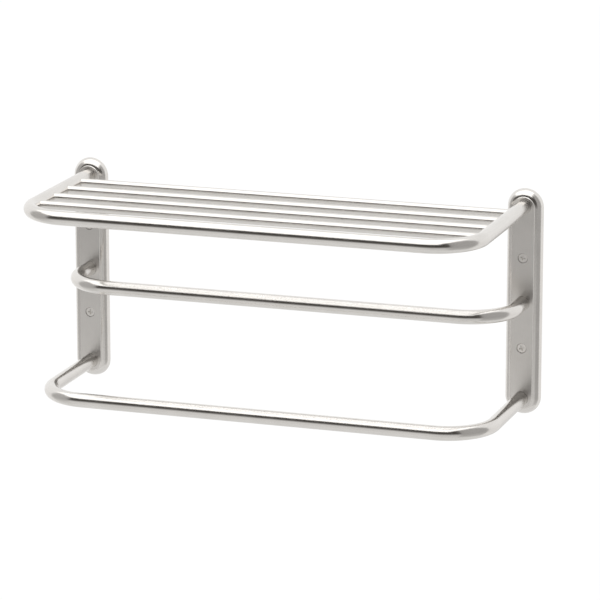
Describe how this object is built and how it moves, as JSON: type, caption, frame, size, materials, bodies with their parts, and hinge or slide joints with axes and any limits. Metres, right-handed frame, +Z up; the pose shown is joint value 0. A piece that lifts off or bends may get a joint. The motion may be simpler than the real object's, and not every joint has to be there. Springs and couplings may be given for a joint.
{
  "type": "towel rack",
  "caption": "Wall-mounted satin nickel towel rack: a rodded shelf in a bent tube rail above shallow and deep U-shaped towel bars, carried by oblong wall plates.",
  "frame": {"origin": "on the wall plane, halfway between the two wall plates and halfway up them", "axes": "+X along the wall to the right, +Y into the wall, +Z up"},
  "size_m": [0.5488, 0.2573, 0.254],
  "materials": {
    "plate_nickel": "satin nickel on cast zinc",
    "tube_nickel": "satin nickel on steel tube",
    "screw_nickel": "nickel-plated steel",
    "zinc_steel": "zinc-plated steel"
  },
  "bodies": {
    "root": {"wall_plate_left": "plate_nickel", "wall_plate_right": "plate_nickel", "shelf_rail": "tube_nickel", "middle_bar": "tube_nickel", "lower_bar": "tube_nickel", "shelf_rod_1": "tube_nickel", "shelf_rod_2": "tube_nickel", "shelf_rod_3": "tube_nickel", "shelf_rod_4": "tube_nickel", "wall_screw_left_upper": "screw_nickel", "wall_screw_left_lower": "screw_nickel", "wall_screw_right_upper": "screw_nickel", "wall_screw_right_lower": "screw_nickel", "end_plug_shelf_left": "zinc_steel", "end_plug_shelf_right": "zinc_steel", "end_plug_middle_left": "zinc_steel", "end_plug_middle_right": "zinc_steel", "end_plug_lower_left": "zinc_steel", "end_plug_lower_right": "zinc_steel", "lock_washer_shelf_left": "zinc_steel", "lock_washer_shelf_right": "zinc_steel", "lock_washer_middle_left": "zinc_steel", "lock_washer_middle_right": "zinc_steel", "lock_washer_lower_left": "zinc_steel", "lock_washer_lower_right": "zinc_steel", "bar_screw_shelf_left": "zinc_steel", "bar_screw_shelf_right": "zinc_steel", "bar_screw_middle_left": "zinc_steel", "bar_screw_middle_right": "zinc_steel", "bar_screw_lower_left": "zinc_steel", "bar_screw_lower_right": "zinc_steel"}
  },
  "joints": []
}
